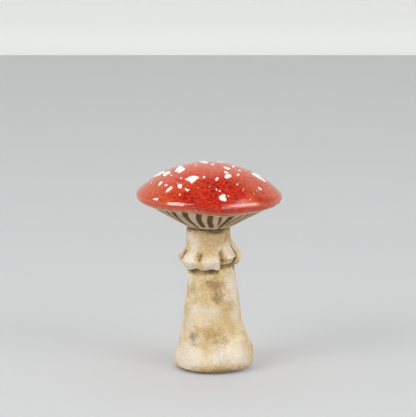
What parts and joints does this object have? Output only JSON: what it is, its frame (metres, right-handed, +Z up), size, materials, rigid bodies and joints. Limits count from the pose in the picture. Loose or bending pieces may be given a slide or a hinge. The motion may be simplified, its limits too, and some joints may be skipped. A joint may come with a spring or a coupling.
{
  "type": "mushroom ornament",
  "caption": "Standing ceramic mushroom ornament with a domed glazed cap, raised white dabs, carved gills, a draped skirt and a hollow stem with a flared foot.",
  "frame": {"origin": "middle of the felt pad's underside, on the surface that the ornament stands on", "axes": "+Z up along the stem towards the cap, -Y towards the viewer's front"},
  "size_m": [0.0627, 0.0628, 0.0905],
  "materials": {
    "felt": "pressed wool felt",
    "stoneware": "unglazed cream stoneware with an ochre oxide wash",
    "dark_slip": "matte oxide slip",
    "gill_clay": "matte carved clay with oxide in the grooves",
    "red_glaze": "glossy speckled red glaze",
    "white_glaze": "glossy raised white glaze"
  },
  "bodies": {
    "root": {"foot_pad": "felt", "stem": "stoneware", "neck_slip": "dark_slip", "skirt": "stoneware", "gill_dish": "gill_clay", "cap_shell": "red_glaze", "glaze_dabs": "white_glaze", "glaze_flecks": "white_glaze"}
  },
  "joints": []
}
